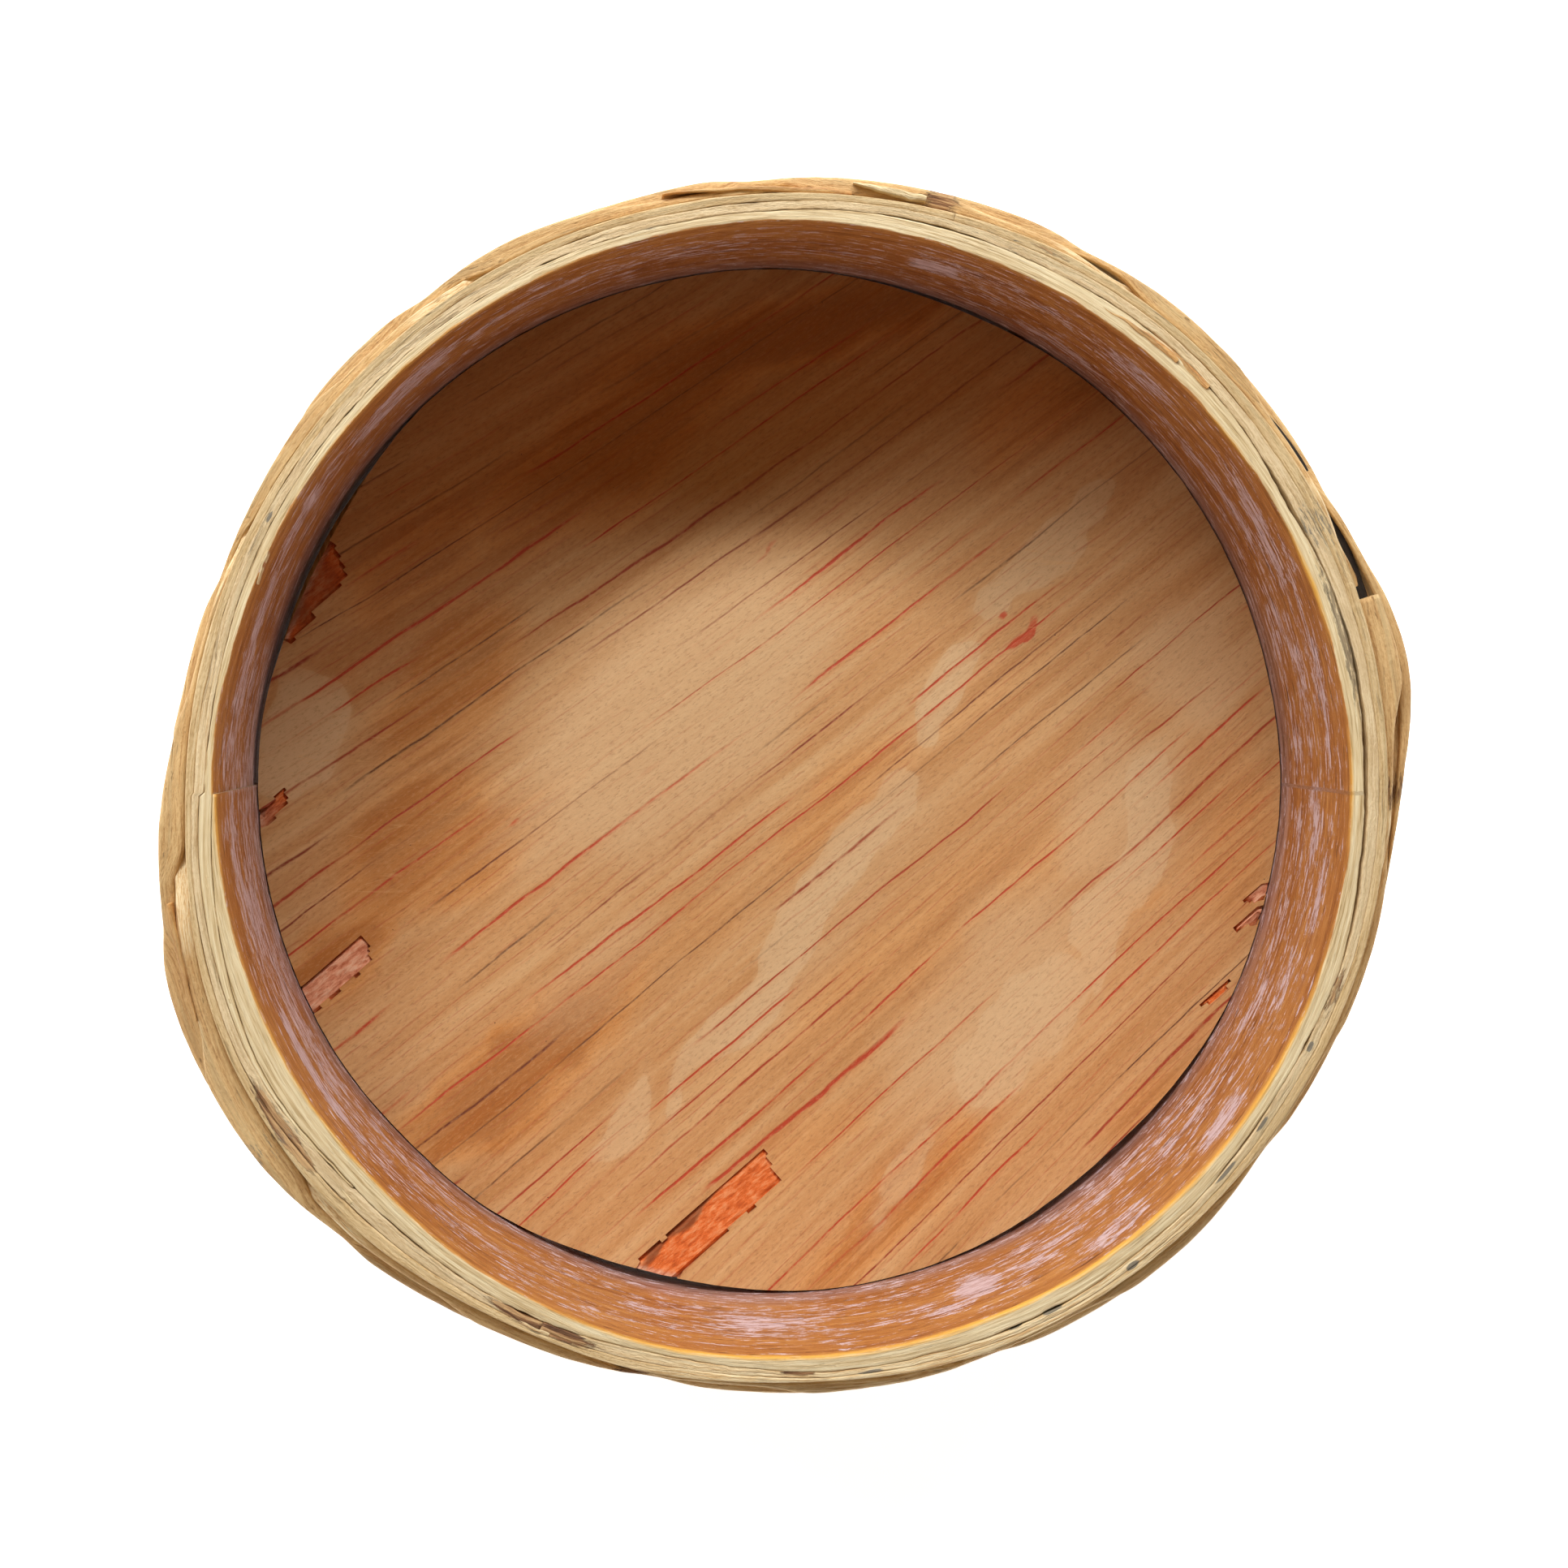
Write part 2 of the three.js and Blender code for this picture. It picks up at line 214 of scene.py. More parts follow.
def bent_lath(name, parts, station, relief=0.1, round_edge=0.12, marks=unmarked, **piece):
    """A straight lath bent round the basket.

    station(t) gives the lath's section for t from 0 to 1. marks(section, depth, height) gives named
    values that the lath's finish reads.
    """
    along, across, up = parts
    bm = unit_block(along, across, up)
    sections = [station(i / along) for i in range(along + 1)]
    mark_layers = {key: bm.verts.layers.float.new(key) for key in marks(sections[0], 0, 0)}
    lath_layer = bm.verts.layers.float_vector.new("lath")
    lengths = [0.0]
    for before, after in zip(sections, sections[1:]):
        turn = math.radians(abs(after.angle - before.angle))
        lengths.append(lengths[-1] + turn * (after.inner + after.outer) / 2)
    seed = sum(map(ord, name)) % 97
    for vert in bm.verts:
        index = round(vert.co.x * along)
        section = sections[index]
        thickness = section.outer - section.inner
        depth = thickness * (0.5 - 0.5 * math.cos(math.pi * vert.co.y))
        share = vert.co.z
        travelled = lengths[index]
        edge = crown(depth, thickness, min(round_edge * edge_wear(section.angle), thickness * 0.45))
        fibre = wobble(travelled / 9, depth / 0.22, seed=seed)
        fibre += 0.5 * wobble(travelled / 3, depth / 0.1, seed=seed + 1)
        swell = wobble(travelled / 30, seed=seed + 2)
        height = section.low + (section.high - section.low) * share
        if share > 0.999:
            height -= edge + relief * (0.6 + 0.6 * fibre) + relief * swell
        if share < 0.001:
            height += edge
        fray = 0.4 * relief * wobble(travelled / 2.5, height / 1.5, seed=seed + 3)
        radius = section.inner + depth + fray + section.lean * (share - 0.5)
        vert[lath_layer] = Vector((travelled, depth, height)) * MM
        for key, value in marks(section, depth, height).items():
            vert[mark_layers[key]] = value
        turn = math.radians(section.angle)
        place = Vector((radius * math.cos(turn), radius * math.sin(turn), height))
        vert.co = AXIS.xy.to_3d() + place * MM
    bmesh.ops.recalc_face_normals(bm, faces=bm.faces)
    return new_piece(name, bm, **piece)


# ---- Shader helpers ----
class Value:
    """One socket of a finish, so that shader maths reads as arithmetic."""

    def __init__(self, finish, socket):
        self.finish = finish
        self.socket = socket

    def maths(self, operation, *values):
        return self.finish.node("ShaderNodeMath", {"operation": operation}, dict(enumerate(values)))

    def __add__(self, other):
        return self.maths("ADD", self, other)

    def __radd__(self, other):
        return self.maths("ADD", other, self)

    def __sub__(self, other):
        return self.maths("SUBTRACT", self, other)

    def __rsub__(self, other):
        return self.maths("SUBTRACT", other, self)

    def __mul__(self, other):
        return self.maths("MULTIPLY", self, other)

    def __rmul__(self, other):
        return self.maths("MULTIPLY", other, self)

    def least(self, other):
        return self.maths("MINIMUM", self, other)

    def most(self, other):
        return self.maths("MAXIMUM", self, other)

    def rise(self, low, high):
        """0 below low, 1 above high, smooth between."""
        settings = {"interpolation_type": "SMOOTHSTEP"}
        inputs = {"Value": self, "From Min": low, "From Max": high}
        return self.finish.node("ShaderNodeMapRange", settings, inputs)

    def peak(self, centre, width):
        """1 where the value is at the centre, 0 when it is width away."""
        away = self - centre
        return 1 - self.maths("ABSOLUTE", away).rise(0.0, width)


class Finish:
    """A material made of nodes, with one principled shader."""

    def __init__(self, name, roughness=0.7):
        self.material = bpy.data.materials.new(name)
        self.material.use_nodes = True
        self.nodes = self.material.node_tree.nodes
        self.links = self.material.node_tree.links
        self.nodes.clear()
        output = self.nodes.new("ShaderNodeOutputMaterial")
        self.shader = self.nodes.new("ShaderNodeBsdfPrincipled")
        self.shader.inputs["Roughness"].default_value = roughness
        self.links.new(self.shader.outputs["BSDF"], output.inputs["Surface"])

    def node(self, kind, settings=None, inputs=None, output=0):
        made = self.nodes.new(kind)
        for key, value in (settings or {}).items():
            if key == "stops":
                self.set_stops(made.color_ramp, value)
            else:
                setattr(made, key, value)
        for key, value in (inputs or {}).items():
            self.feed(made.inputs[key], value)
        return Value(self, made.outputs[output])

    def feed(self, socket, value):
        if isinstance(value, Value):
            self.links.new(value.socket, socket)
        elif isinstance(value, tuple) and len(value) == 3 and socket.type == "RGBA":
            socket.default_value = (*value, 1)
        else:
            socket.default_value = value

    @staticmethod
    def set_stops(ramp, stops):
        while len(ramp.elements) < len(stops):
            ramp.elements.new(1.0)
        for element, (place, colour) in zip(ramp.elements, stops):
            element.position = place
            element.color = (*colour, 1)

    def attribute(self, name):
        """A number kept on the piece's points."""
        return self.node("ShaderNodeAttribute", {"attribute_name": name}, output="Fac")

    def lath(self):
        """The place along, into and up a bent lath, in metres."""
        return self.node("ShaderNodeAttribute", {"attribute_name": "lath"}, output="Vector")

    def place(self):
        return self.node("ShaderNodeTexCoord", output="Object")

    def from_axis(self):
        """The place from the basket's middle."""
        middle = tuple(AXIS)
        return self.node(
            "ShaderNodeVectorMath", {"operation": "SUBTRACT"}, {0: self.place(), 1: middle}
        )

    def joined(self, first, second):
        """A flat vector from two numbers."""
        return self.node("ShaderNodeCombineXYZ", {}, {0: first, 1: second, 2: 0.0})

    def parts(self, vector):
        """The X, Y and Z of a vector."""
        return [self.node("ShaderNodeSeparateXYZ", {}, {0: vector}, output=i) for i in range(3)]

    def stretched(self, vector, scale, turn=0.0):
        inputs = {"Vector": vector, "Scale": scale, "Rotation": (0, 0, turn)}
        return self.node("ShaderNodeMapping", {"vector_type": "POINT"}, inputs)

    def grain(self, vector, scale, detail=4.0, roughness=0.6, distortion=0.0):
        """Noise from 0 to 1 on a vector stretched by scale, in repeats a metre."""
        inputs = {
            "Vector": self.stretched(vector, scale), "Scale": 1.0, "Detail": detail,
            "Roughness": roughness, "Distortion": distortion,
        }
        return self.node("ShaderNodeTexNoise", {"normalize": True}, inputs)

    def mix(self, factor, first, second, blend="MIX"):
        """The first colour where the factor is 0, the second where it is 1."""
        settings = {"data_type": "RGBA", "blend_type": blend, "clamp_factor": True}
        return self.node("ShaderNodeMix", settings, {0: factor, 6: first, 7: second}, output=2)

    def ramp(self, value, *stops):
        return self.node("ShaderNodeValToRGB", {"stops": stops}, {0: value})

    def finish(self, colour, roughness=None, height=None, bump=0.3, depth=0.0002):
        self.feed(self.shader.inputs["Base Color"], colour)
        if roughness is not None:
            self.feed(self.shader.inputs["Roughness"], roughness)
        if height is not None:
            inputs = {"Strength": bump, "Distance": depth, "Height": height}
            self.feed(self.shader.inputs["Normal"], self.node("ShaderNodeBump", {}, inputs))
        return self.material


def srgb(red, green, blue):
    """A colour given as it looks, from 0 to 255, for a shader."""
    def linear(value):
        share = value / 255
        return share / 12.92 if share <= 0.04045 else ((share + 0.055) / 1.055) ** 2.4
    return tuple(linear(value) for value in (red, green, blue))


# ---- Finishes ----
def mould_spots(f, lath):
    """Where grey mould shows, from 0 to 1: the piece's mould marks, broken into specks."""
    specks = (f.grain(lath, (500, 3000, 900), 5, 0.75) - 0.5) * 1.6
    return (f.attribute("mould") + specks).rise(0.45, 0.75)


def split_bamboo(name, pale, straw, dark, seed=0.0, outer_tone=0.0, greyed=0.35):
    """The cut edge and split faces of a bamboo lath: fine fibres that run along it.

    outer_tone is how much browner the weathered face below the rim is than the cut edge, and
    greyed is how grey the weathered streaks are.
    """
    f = Finish(name, 0.68)
    height = f.parts(f.lath())[2]
    lath = f.node("ShaderNodeVectorMath", {"operation": "ADD"}, {0: f.lath(), 1: (seed, seed, seed)})
    fibres = f.grain(lath, (170, 5200, 2400), 3, 0.7)
    streaks = f.grain(lath, (90, 2100, 900), 4, 0.68)
    grains = f.grain(lath, (1500, 4300, 2400), 3, 0.7)
    blotches = f.grain(lath, (90, 420, 110), 4, 0.65)
    tone = fibres * 0.35 + streaks * 0.4 + grains * 0.25
    colour = f.ramp(tone, (0.35, dark), (0.455, straw), (0.55, pale))
    colour = f.mix(blotches.rise(0.46, 0.66) * 0.5, colour, straw)
    grey = f.grain(lath, (30, 600, 80), 4, 0.6).rise(0.5, 0.64)
    colour = f.mix(grey * greyed, colour, srgb(180, 162, 122))
    outside = 1 - height.rise((RIM - 3) * MM, (RIM - 0.8) * MM)
    colour = f.mix(outside * outer_tone, colour, srgb(190, 150, 94))
    pith = (f.attribute("pith") + (blotches - 0.5) * 0.7).rise(0.3, 0.7)
    pith_colour = f.ramp(
        fibres, (0.36, srgb(200, 156, 102)), (0.47, srgb(230, 200, 148)), (0.58, srgb(246, 228, 186)),
    )
    colour = f.mix(pith * 0.85, colour, pith_colour)
    tears = (f.grain(lath, (420, 3600, 900), 5, 0.75) - 0.5) * 1.6
    ragged = (f.attribute("torn") + tears).rise(0.42, 0.58)
    torn_colour = f.ramp(
        streaks, (0.38, srgb(92, 58, 34)), (0.48, srgb(150, 106, 66)), (0.58, srgb(204, 166, 116)),
    )
    colour = f.mix(ragged, colour, torn_colour)
    colour = f.mix(mould_spots(f, lath) * 0.85, colour, srgb(112, 108, 98))
    crack = f.grain(lath, (42, 1500, 700), 2, 0.5, 0.3).peak(0.5, 0.022)
    hairs = crack * f.grain(lath, (75, 500, 220), 3, 0.6).rise(0.54, 0.64)
    colour = f.mix(hairs * 0.4, colour, srgb(112, 82, 48))
    relief = fibres * 0.4 + streaks * 0.25 + grains * 0.6 - hairs * 0.4 - ragged * 0.5
    return f.finish(colour, height=relief, bump=0.8, depth=0.0004)


def scuffed_skin(name):
    """The basket's inside: stained bamboo skin with pale scuffs, and a pale cut edge at the rim. The
    scuffs round the left side are partly painted light.
    """
    f = Finish(name, 0.55)
    lath = f.lath()
    along, depth, height = f.parts(lath)
    fibres = f.grain(lath, (170, 5200, 2400), 3, 0.7)
    streaks = f.grain(lath, (26, 400, 520), 5, 0.7)
    clouds = f.grain(lath, (30, 100, 90), 4, 0.6)
    threads = f.grain(lath, (330, 4200, 1300), 4, 0.75)
    brown = f.ramp(
        streaks * 0.45 + clouds * 0.2 + threads * 0.35,
        (0.38, srgb(130, 74, 30)), (0.46, srgb(170, 106, 50)),
        (0.53, srgb(190, 128, 66)), (0.62, srgb(212, 156, 92)),
    )
    damp = (f.attribute("damp") + (clouds - 0.5) * 1.2 + (streaks - 0.5) * 0.8).rise(0.2, 0.95)
    damp_colour = f.ramp(streaks, (0.4, srgb(122, 84, 76)), (0.58, srgb(176, 140, 134)))
    brown = f.mix(damp * 0.85, brown, damp_colour)
    dashes = f.grain(lath, (140, 900, 880), 4, 0.68)
    patches = f.grain(lath, (52, 300, 230), 4, 0.62)
    # The scuff mask is partly painted light: it pales the left side of the inner wall.
    rub = f.attribute("scuff") * 0.6 + (dashes - 0.5) * 1.8
    rub = rub + (patches - 0.5) * 1.2 + (threads - 0.5) * 3.0
    scuffs = rub.rise(0.33, 0.45)
    scuff_colour = f.ramp(threads, (0.4, srgb(196, 164, 166)), (0.56, srgb(226, 208, 216)))
    veil = (f.attribute("scuff") * 0.5 + (patches - 0.5) * 2.0).rise(0.1, 0.7)
    brown = f.mix(veil * 0.4, brown, srgb(184, 148, 132))
    colour = f.mix(scuffs * 0.8, brown, scuff_colour)
    nicks = f.grain(lath, (160, 1500, 1100), 3, 0.6).rise(0.6, 0.68)
    colour = f.mix(nicks * 0.8, colour, srgb(92, 46, 22))
    golden = srgb(240, 184, 80)
    edge_noise = (f.grain(lath, (160, 900, 900), 4) - 0.5) * 0.0008
    near_rim = (height + edge_noise * 3.0).rise((RIM - 1.5) * MM, (RIM - 0.4) * MM)
    gold = near_rim * f.attribute("gold") * (1 - (depth + edge_noise).rise(0.00026, 0.00052))
    pale = f.ramp(
        fibres * 0.4 + f.grain(lath, (60, 2100, 900), 4, 0.68) * 0.6,
        (0.36, srgb(170, 140, 92)), (0.46, srgb(216, 192, 146)), (0.58, srgb(238, 222, 182)),
    )
    mould_colour = f.ramp(fibres, (0.4, srgb(98, 84, 66)), (0.56, srgb(156, 138, 108)))
    pale = f.mix(mould_spots(f, lath) * 0.9, pale, mould_colour)
    cut = (depth + edge_noise).rise(0.00010, 0.00026).most(f.attribute("tail"))
    colour = f.mix(gold * 0.95, colour, golden)
    colour = f.mix(cut, colour, pale)
    colour = f.mix(gold * cut * 0.8, colour, golden)
    height_map = fibres * 0.4 + streaks * 0.5 + threads * 0.5 + scuffs * 0.3
    return f.finish(colour, roughness=0.44 + scuffs * 0.3, height=height_map, bump=0.6, depth=0.0004)


def pine_face(name, line_strength=1.0):
    """The board's face veneer: pine with thin red grain lines and damp stains along the grain; the
    stains under the rim's shadow are also painted shade.
    """
    f = Finish(name, 0.6)
    place = f.from_axis()
    v, u, _ = f.parts(f.stretched(place, (1, 1, 1), -math.radians(GRAIN_ANGLE)))
    fan = u + u * v * GRAIN_FAN
    flow = f.joined(v, fan)
    broad = f.grain(flow, (9, 120, 1), 4, 0.6)
    streaks = f.grain(flow, (20, 420, 1), 5, 0.62)
    colour = f.ramp(
        broad * 0.4 + streaks * 0.6,
        (0.38, srgb(194, 140, 84)), (0.5, srgb(206, 156, 102)), (0.62, srgb(216, 174, 122)),
    )
    # Stain and painted shade: the stains at the board's upper edge darken the part under the rim's
    # shadow.
    stained = (f.attribute("stain") + (broad - 0.5) * 0.8 + (streaks - 0.5) * 0.7).rise(0.15, 0.95)
    stain_and_shade_colour = f.ramp(
        streaks, (0.4, srgb(182, 110, 40)), (0.49, srgb(208, 142, 74)), (0.58, srgb(220, 158, 92)),
    )
    colour = f.mix(stained * 0.85, colour, stain_and_shade_colour)
    # The heaviest stains turn dark orange: real stain, and painted shade under the rim's shadow.
    deep_stain_and_shade = (f.attribute("stain") + (streaks - 0.5) * 2.2).rise(0.7, 1.5)
    colour = f.mix(deep_stain_and_shade * 0.55, colour, srgb(140, 74, 10))
    # Pale washed areas, partly painted light that pales a shaded spot at the board's right edge.
    washed = (f.attribute("washed") + (broad - 0.5) * 0.6).rise(0.1, 0.9)
    colour = f.mix(washed * 0.7, colour, srgb(216, 180, 134))
    tide = f.attribute("bleach") + (broad - 0.5) * 0.5 + (f.grain(flow, (90, 200, 1), 3) - 0.5) * 0.3
    colour = f.mix(tide.rise(0.1, 0.9) * 0.6, colour, srgb(214, 180, 136))
    colour = f.mix(tide.rise(0.40, 0.45) * 0.3, colour, srgb(226, 198, 154))

    def grain_lines(spacing, width, shift, breaks):
        """Thin lines along the grain: how strongly a point lies on one, and which line it is.

        breaks is how often a line stops and starts, in repeats a metre.
        """
        slow = (f.grain(flow, (12, 90, 1), 3, 0.55) - 0.5) * 0.004
        quick = (f.grain(flow, (130, 260, 1), 2) - 0.5) * 0.0005
        squeeze = (f.grain(f.joined(shift, fan), (1, 130, 1), 1) - 0.5) * 1.3
        wander = slow + quick
        rings = (fan + wander) * (1 / spacing) + squeeze
        number = rings.maths("FLOOR", rings)
        phase = rings.maths("FRACT", rings)
        runs = f.grain(f.joined(v, number * 7.37 + shift), (breaks, 1, 1), 2, 0.6).rise(0.44, 0.56)
        dashes = f.grain(flow, (300, 900, 1), 3, 0.7).rise(0.34, 0.54)
        own = f.node("ShaderNodeTexWhiteNoise", {"noise_dimensions": "1D"}, {"W": number + shift})
        sharp = phase.peak(0.5, width) * runs * (0.45 + dashes * 0.55)
        glow = phase.rise(0.12, 0.5) * (1 - phase.rise(0.5, 0.56)) * runs
        return sharp * (0.45 + own * 0.55), glow * own, own

    lines, glow, own = grain_lines(0.0031, 0.075, 1.3, 22)
    faint, _, _ = grain_lines(0.0014, 0.12, 7.9, 90)
    # Painted shade: the grain lines are made fainter above 28 mm in y, where the rim's shadow falls.
    shown = (1 - washed * 0.5 - f.parts(place)[1].rise(0.028, 0.044) * 0.45) * line_strength
    colour = f.mix(glow * shown * 0.4, colour, srgb(200, 122, 62))
    colour = f.mix(faint * shown * 0.6, colour, srgb(176, 84, 50))
    line_colour = f.ramp(
        own, (0.25, srgb(96, 54, 30)), (0.4, srgb(146, 60, 32)), (0.8, srgb(186, 66, 34)),
    )
    colour = f.mix((lines * shown * 1.9).least(1.0), colour, line_colour)
    red = f.attribute("red").rise(0.3, 0.8) * streaks.rise(0.35, 0.5)
    colour = f.mix(red * 0.9, colour, srgb(198, 74, 40))
    pores = f.grain(flow, (900, 3000, 1), 3, 0.75)
    colour = f.mix(pores.rise(0.52, 0.66) * 0.3, colour, srgb(140, 90, 50))
    colour = f.mix((1 - pores).rise(0.52, 0.66) * 0.14, colour, srgb(240, 204, 156))
    specks = f.grain(place, (1300, 1300, 1), 1).rise(0.8, 0.84)
    colour = f.mix(specks * 0.8, colour, srgb(62, 40, 26))
    scratch_flow = f.stretched(place, (60, 900, 1), math.radians(62))
    scratch_inputs = {"Vector": scratch_flow, "Scale": 1.0, "Detail": 1.0}
    scratch = f.node("ShaderNodeTexNoise", {"normalize": True}, scratch_inputs)
    scratches = scratch.peak(0.5, 0.008) * f.attribute("worn")
    colour = f.mix(scratches * 0.4, colour, srgb(226, 180, 120))
    height = f.grain(flow, (150, 2600, 1), 4, 0.6) * 0.6 - lines * 0.5 - pores.rise(0.52, 0.66) * 0.3
    return f.finish(colour, roughness=0.52 + pores * 0.2, height=height, bump=0.35, depth=0.0002)


def core_ply(name):
    """The ply under the face: rough orange wood, seen where splinters have come off."""
    f = Finish(name, 0.85)
    turned = f.stretched(f.from_axis(), (1, 1, 1), -math.radians(GRAIN_ANGLE))
    rough = f.grain(turned, (420, 1500, 300), 5, 0.75)
    bright = f.ramp(
        rough, (0.34, srgb(184, 80, 26)), (0.48, srgb(226, 112, 44)), (0.62, srgb(240, 156, 100)),
    )
    pinkish = f.ramp(
        rough, (0.34, srgb(182, 98, 62)), (0.48, srgb(226, 154, 118)), (0.62, srgb(242, 192, 158)),
    )
    colour = f.mix(f.attribute("faded").rise(0.2, 0.8), bright, pinkish)
    colour = f.mix(f.attribute("dark").rise(0.2, 0.8) * 0.8, colour, srgb(122, 66, 32))
    return f.finish(colour, height=rough, bump=0.6, depth=0.0004)


def plain_lath(name):
    """Split bamboo of the hidden bars, pegs and seat, with its fibres along Y."""
    f = Finish(name, 0.7)
    fibres = f.grain(f.place(), (3200, 70, 3200), 4, 0.6)
    streaks = f.grain(f.place(), (700, 20, 700), 4, 0.6)
    colour = f.ramp(
        fibres * 0.5 + streaks * 0.5,
        (0.34, srgb(146, 108, 60)), (0.48, srgb(196, 158, 98)), (0.62, srgb(222, 190, 134)),
    )
    return f.finish(colour, height=fibres, bump=0.5)


# ---- Marks, placed by angle and height ----
def blot(angle, height, marks):
    """The strongest of the marks (angle, height, half length in degrees, half height, strength)."""
    best = 0.0
    for centre, level, long, tall, strength in marks:
        away = math.hypot(turn_between(angle, centre) / long, (height - level) / tall)
        best = max(best, strength * (1 - ease(away, 0.3, 1.3)))
    return best


# Pale scuffs on the inside: (angle, height, half length in degrees, half height, strength).
SCUFFS = [
    (11, 39.6, 9, 2.6, 0.9), (28, 38.6, 10, 4.5, 1.0), (12, 30.2, 10, 3.0, 0.9),
    (32, 29, 7, 3, 0.8), (6, 20.6, 6, 3.0, 0.8), (18, 23.4, 6, 3.0, 0.8),
    (49, 37, 7, 4.0, 0.9), (42, 27, 5, 3, 0.7), (74, 33.5, 3.6, 3.6, 1.5),
    (60, 37, 10, 3, 0.7), (58, 22, 8, 4, 0.5), (100, 34, 14, 3.0, 0.7),
    (134, 36, 10, 5.5, 1.0), (118, 35, 10, 3, 0.7), (128, 26, 6, 3, 0.5),
    (150, 37, 10, 4, 0.9), (166, 34, 14, 4.4, 0.9), (108, 24, 6, 2.4, 0.5),
    (211, 36, 10, 1.5, 1.5), (230, 34, 10, 2.0, 1.3), (194, 31, 7, 5.0, 1.0),
    (188, 24, 10, 6, 0.8), (207, 25, 16, 8, 0.7), (228, 22, 12, 6, 0.6),
    (249, 41, 6, 2.4, 0.8), (256, 30, 6, 3.0, 0.8), (268, 31, 7, 4.6, 1.1),
    (276, 41, 4, 2.0, 0.9), (288, 40, 3.5, 2.2, 0.9), (291.5, 32, 3, 5.6, 1.7),
    (298, 34, 5, 3.2, 0.9), (302, 28.6, 4, 3.0, 0.9), (307, 42, 6, 5, 0.8),
    (323, 41.5, 5, 4.4, 1.0), (320, 28.6, 8, 3.0, 0.8), (336, 27, 7, 3.4, 0.8),
    (339, 37, 6, 2.6, 0.7), (349, 39.5, 6, 2.4, 0.9), (344, 22, 9, 5, 0.6),
    (356, 33, 7, 3.4, 0.8), (314, 20, 12, 4, 0.6), (300, 20, 9, 4, 0.5),
    (280, 24, 10, 5, 0.5),
]


gold_edge = around(
    0.08, (0, 8, 0.5), (22, 8, 0.8), (39, 6, 0.4), (130, 30, 0.25), (182, 10, 0.4), (215, 30, 0.45),
    (262, 26, 0.8), (300, 40, 1.0), (332, 16, 0.6),
)


def skin_marks(section, depth, height):
    angle = section.angle % 360
    damp = 0.9 * ease(24 - height, 0, 12) + 0.15 * hump(angle, 205, 45) * ease(42 - height, 0, 12)
    # The hump at 185 degrees pales the left of the inner wall: scuffs, and painted light that
    # brightens that side.
    worn = 0.22 * ease(46 - height, 0, 6) + 0.4 * hump(angle, 185, 40) * ease(44 - height, 0, 8)
    return {
        "scuff": max(blot(angle, height, SCUFFS), worn),
        "damp": damp,
        "gold": 0.0 if section.pith else min(gold_edge(angle), 1.0),
        "tail": ease(section.pith, 0, 1) * ease(height, RIM - 6, RIM - 3),
        "mould": (0.75 * hump(angle, 16, 20) + 1.0 * hump(angle, 103.8, 1.6)) * ease(depth, 0.7, 1.4),
    }


# Torn patches on the rim's layers: (angle, radius, half length in degrees, half width, strength).
TORN = [
    (213.5, 75.0, 6.2, 1.15, 1.0), (245, 72.9, 7.0, 1.05, 1.0), (340, 72.9, 3.6, 1.1, 0.55),
    (271, 72.2, 2.2, 0.6, 0.9), (64, 74.4, 3, 0.4, 0.5),
]
# Grey mould on the rim: (angle, reach, strength).
MOULD = [(27, 8, 0.55), (70, 16, 0.4), (214, 4, 0.5), (276, 5, 0.3), (13, 5, 0.3)]
# Dark specks in the cracks, as the torn patches are given.
SPECKS = [
    (306, 73.3, 0.8, 0.5, 1.4), (293, 72.6, 0.9, 0.35, 1.3), (297, 72.7, 1.2, 0.4, 1.4),
    (319, 72.7, 1.8, 0.3, 1.2), (325, 72.6, 1.2, 0.3, 1.2), (334, 72.9, 0.7, 0.4, 1.3),
    (278, 73.0, 1.6, 0.3, 1.0), (152, 72.2, 0.8, 0.3, 1.0),
]


def rim_marks(section, depth, height):
    """Marks on a layer of the rim: torn patches and grey mould."""
    angle = section.angle % 360
    near_top = ease(height, RIM - 3, RIM - 1)
    mouldy = sum(strength * hump(angle, centre, reach) for centre, reach, strength in MOULD)
    fresh = 0.75 * hump(angle, 285, 68) + 0.45 * hump(angle, 175, 40)
    return {
        "torn": blot(angle, section.inner + depth, TORN) * near_top,
        "mould": max(mouldy, blot(angle, section.inner + depth, SPECKS)) * near_top,
        "pith": section.pith + fresh * near_top,
    }


def strand_marks(section, depth, height):
    """Marks on a hoop's splint: pale pith on the strand that lies inside, and a few torn ends."""
    angle = section.angle % 360
    torn = 0.8 * hump(angle, 75.5, 3.5) + 0.5 * hump(angle, 0, 4) + 0.6 * hump(angle, 255, 5)
    torn = max(torn, 0.22 * (1 - section.pith))
    return {
        "torn": torn,
        "mould": 0.5 * hump(angle, 214, 5),
        "pith": section.pith + 0.6 * hump(angle, 285, 60),
    }


# ---- The wall ----
def crack_wander(angle, seed):
    return 0.14 * wobble(angle / 3.1, seed=seed) + 0.07 * wobble(angle / 0.9, seed=seed)


def start_face(angle):
    """The outside of the inner band's first turn, which thins to nothing where the band begins."""
    begun = (angle - LAP_START) % 360
    full = first_crack(angle) - crack_width(angle) / 2 + crack_wander(angle, 3)
    return min(full, inside_face(angle) + 0.45 + begun * 0.1)


def tail_width(angle):
    """The thickness of the inner band's tail, outside its own beginning."""
    past = (angle - LAP_START) % 360
    if past >= LAP_LENGTH + 1:
        return 0.0
    return 1.35 * (1 - ease(past, 2, LAP_LENGTH)) + 0.2


def inner_band_section(t):
    travelled = LAP_START + (LAP_END - LAP_START) * t
    angle = travelled % 360
    on_tail = travelled >= LAP_START + 360
    if on_tail:
        inner = start_face(angle) + 0.06
        return Section(angle, inner, inner + tail_width(angle), 0.0, RIM, pith=1.0)
    step = 0.5 * ease(travelled, LAP_START + 330, LAP_START + 360)
    return Section(angle, inside_face(angle) + step, start_face(angle), 0.0, RIM)


